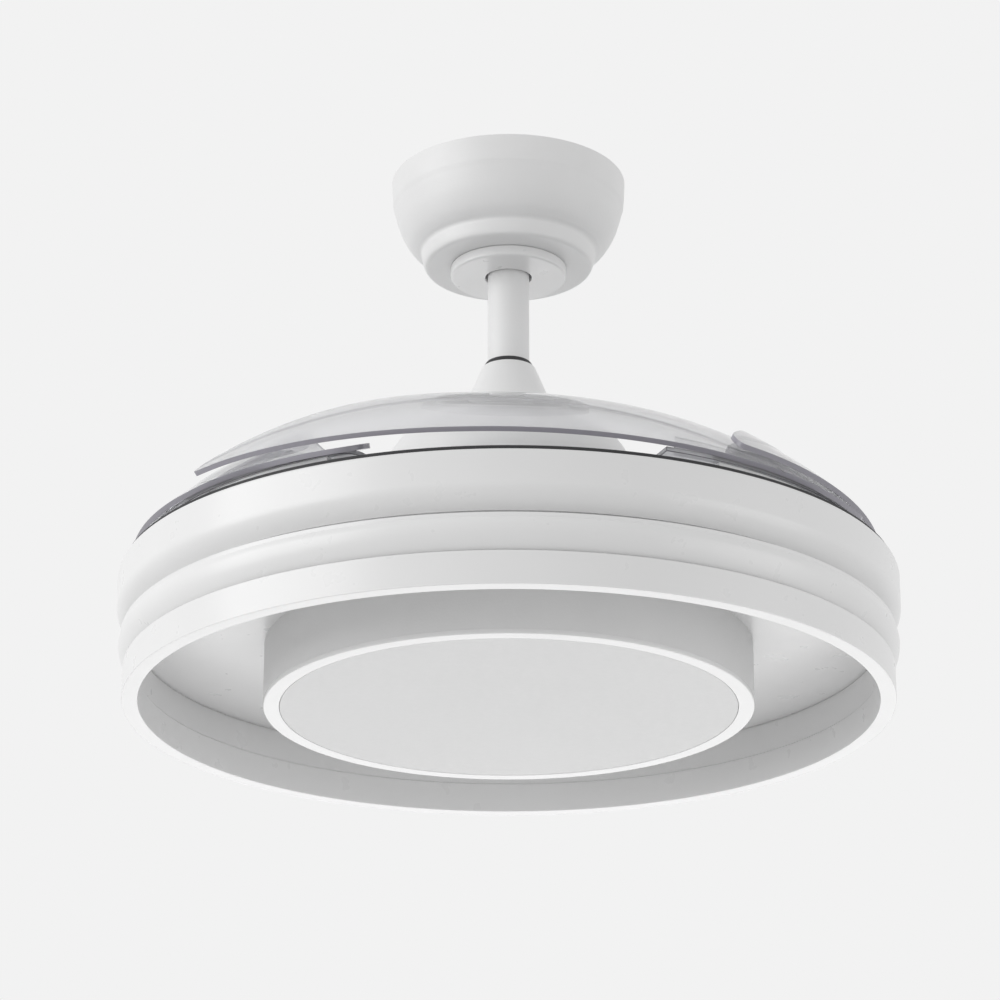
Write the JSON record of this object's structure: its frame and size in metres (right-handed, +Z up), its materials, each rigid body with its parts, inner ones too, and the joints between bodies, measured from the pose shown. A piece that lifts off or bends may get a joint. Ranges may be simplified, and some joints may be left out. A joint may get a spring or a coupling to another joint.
{
  "type": "ceiling fan",
  "caption": "Ceiling fan with a ring lamp in a round drum, hung on a short rod, whose clear blades fold onto the drum and swing out as it turns.",
  "frame": {"origin": "middle of the ceiling bracket's top face, on the ceiling", "axes": "+Z up along the rod and the motor shaft, +X along the line of the two ceiling screws, -Y towards the viewer"},
  "size_m": [0.51, 0.51, 0.376],
  "materials": {
    "white_metal": "fine white powder coat",
    "white_plastic": "satin white moulded plastic",
    "black_rubber": "matt black seal",
    "lens": "opal diffuser, unlit",
    "clear_plastic": "clear polished plastic",
    "zinc_steel": "zinc plated steel",
    "aluminium": "plain aluminium",
    "cast_metal": "die cast aluminium",
    "lamination": "stacked steel laminations",
    "copper": "enamelled copper windings",
    "magnet": "ferrite magnets",
    "dark_plastic": "dark moulded nylon",
    "wire": "insulated leads",
    "gear_plastic": "natural acetal",
    "board": "white solder resist",
    "chip": "phosphor faced chips"
  },
  "bodies": {
    "static": {"ceiling_bracket": "zinc_steel", "receiver": "white_plastic", "terminal_block": "white_plastic", "hanger_ball": "dark_plastic", "ball_pin": "zinc_steel", "canopy": "white_metal", "canopy_screws": "zinc_steel", "canopy_disc": "white_plastic", "down_rod": "white_metal", "lead_wires": "wire", "coupling": "zinc_steel", "coupling_pin": "zinc_steel", "coupling_set_screws": "zinc_steel", "cone_cover": "white_plastic", "cone_seal": "black_rubber", "motor_cover": "white_metal", "cover_screws": "zinc_steel", "motor_shaft": "zinc_steel", "shaft_nut": "zinc_steel", "stator_core": "lamination", "stator_windings": "copper", "bearing_inner_races": "zinc_steel", "top_tray": "aluminium", "top_seal": "black_rubber", "upper_band": "white_plastic", "middle_band": "white_plastic", "lower_band": "white_plastic", "chassis_plate": "white_plastic", "chassis_posts": "zinc_steel", "led_driver": "white_plastic", "lamp_housing": "white_metal", "led_board": "board", "led_chips": "chip", "lamp_bezel": "white_plastic", "lamp_lens": "lens"},
    "rotor": {"bearing_outer_races": "zinc_steel", "bearing_balls": "zinc_steel", "rotor_lower_shell": "cast_metal", "rotor_upper_shell": "cast_metal", "rotor_screws": "zinc_steel", "rotor_magnets": "magnet", "blade_carrier": "aluminium", "carrier_screws": "zinc_steel", "pivot_pins": "zinc_steel", "pivot_clips": "zinc_steel", "ring_retainers": "zinc_steel", "blade_springs": "zinc_steel"},
    "sync": {"sync_ring": "gear_plastic"},
    "blade_1_unit": {"blade_arm_1": "white_plastic", "blade_1": "clear_plastic", "blade_screws_1": "zinc_steel"},
    "blade_2_unit": {"blade_arm_2": "white_plastic", "blade_2": "clear_plastic", "blade_screws_2": "zinc_steel"},
    "blade_3_unit": {"blade_arm_3": "white_plastic", "blade_3": "clear_plastic", "blade_screws_3": "zinc_steel"},
    "blade_4_unit": {"blade_arm_4": "white_plastic", "blade_4": "clear_plastic", "blade_screws_4": "zinc_steel"}
  },
  "joints": [
    {"name": "rotor_spin", "type": "hinge", "parent": "static", "child": "rotor", "pos_m": [0, 0, -0.276], "axis": [0, 0, 1], "continuous": true},
    {"name": "blade_1_swing", "type": "hinge", "parent": "rotor", "child": "blade_1_unit", "pos_m": [0.15515, -0.10076, -0.296], "axis": [0, 0, 1], "range_deg": [0, 130], "stiffness_Nm_per_rad": 0.12, "springref_deg": -28.65},
    {"name": "blade_2_swing", "type": "hinge", "parent": "rotor", "child": "blade_2_unit", "pos_m": [0.10076, 0.15515, -0.296], "axis": [0, 0, 1], "range_deg": [0, 130], "stiffness_Nm_per_rad": 0.12, "springref_deg": -28.65},
    {"name": "blade_3_swing", "type": "hinge", "parent": "rotor", "child": "blade_3_unit", "pos_m": [-0.15515, 0.10076, -0.296], "axis": [0, 0, 1], "range_deg": [0, 130], "stiffness_Nm_per_rad": 0.12, "springref_deg": -28.65},
    {"name": "blade_4_swing", "type": "hinge", "parent": "rotor", "child": "blade_4_unit", "pos_m": [-0.10076, -0.15515, -0.296], "axis": [0, 0, 1], "range_deg": [0, 130], "stiffness_Nm_per_rad": 0.12, "springref_deg": -28.65},
    {"name": "sync_ring_turn", "type": "hinge", "parent": "rotor", "child": "sync", "pos_m": [0, 0, -0.301], "axis": [0, 0, 1], "range_deg": [-16.65, 0]}
  ],
  "couplings": [
    {"joint": "blade_2_swing", "follows": "blade_1_swing", "ratio": 1},
    {"joint": "blade_3_swing", "follows": "blade_1_swing", "ratio": 1},
    {"joint": "blade_4_swing", "follows": "blade_1_swing", "ratio": 1},
    {"joint": "sync_ring_turn", "follows": "blade_1_swing", "ratio": -0.12805}
  ]
}
